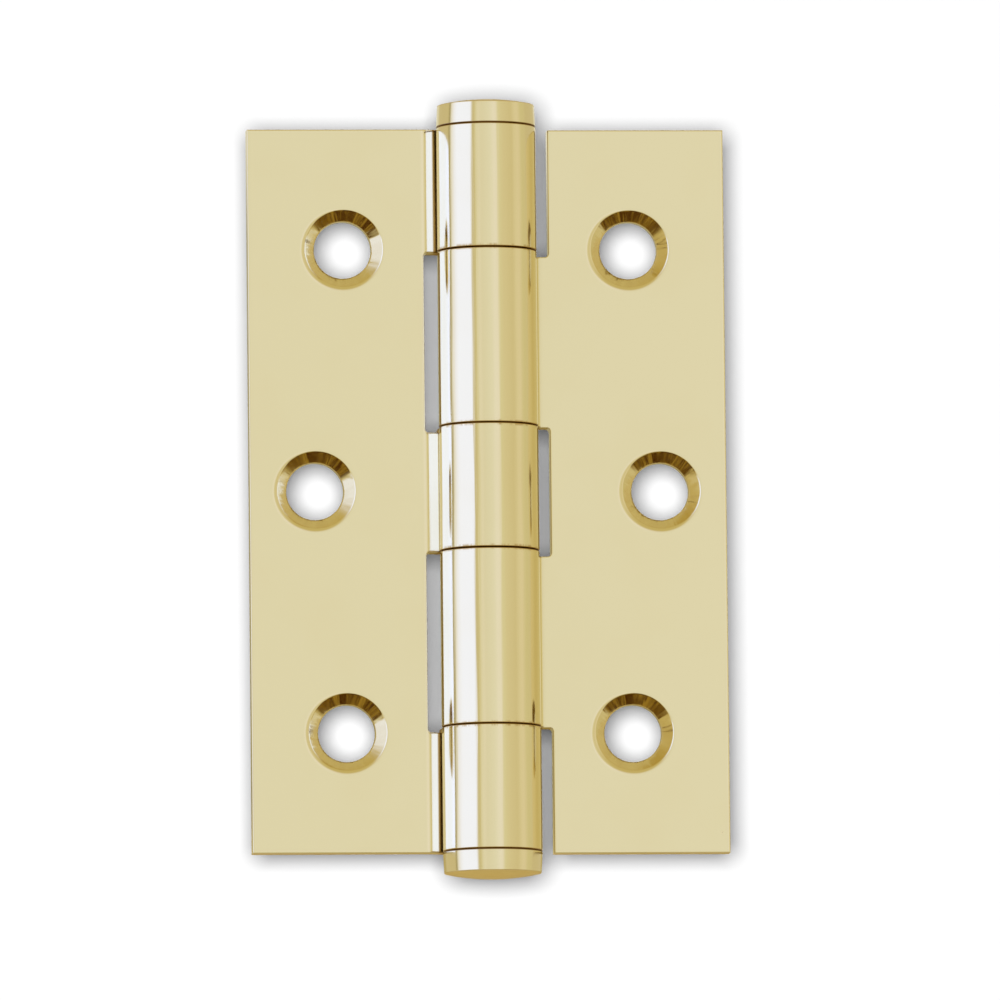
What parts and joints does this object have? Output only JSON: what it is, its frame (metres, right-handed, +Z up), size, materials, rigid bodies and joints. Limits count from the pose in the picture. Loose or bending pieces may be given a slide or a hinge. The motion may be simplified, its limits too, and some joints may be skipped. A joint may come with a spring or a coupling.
{
  "type": "door hinge",
  "caption": "Polished brass butt hinge with rolled knuckles on a captive pin, flat button tips and staggered countersunk screw holes; opens flat and folds shut.",
  "frame": {"origin": "on the pin axis at mid-height, the centre of the open hinge's box", "axes": "+Z up along the pin; +X from the frame leaf to the door leaf, opened flat; +Y towards the back faces that lie on the door and frame"},
  "size_m": [0.05, 0.0104, 0.0816],
  "materials": {
    "leaf_brass": "polished",
    "tip_brass": "polished",
    "pin_steel": "ground, lightly oiled"
  },
  "bodies": {
    "frame_side": {"frame_leaf": "leaf_brass", "hinge_pin": "pin_steel", "top_tip": "tip_brass", "bottom_tip": "tip_brass"},
    "door_side": {"door_leaf": "leaf_brass"}
  },
  "joints": [
    {"name": "leaf_swing", "type": "hinge", "parent": "frame_side", "child": "door_side", "pos_m": [0, 0, 0], "axis": [0, 0, 1], "range_deg": [-185, 117]}
  ]
}
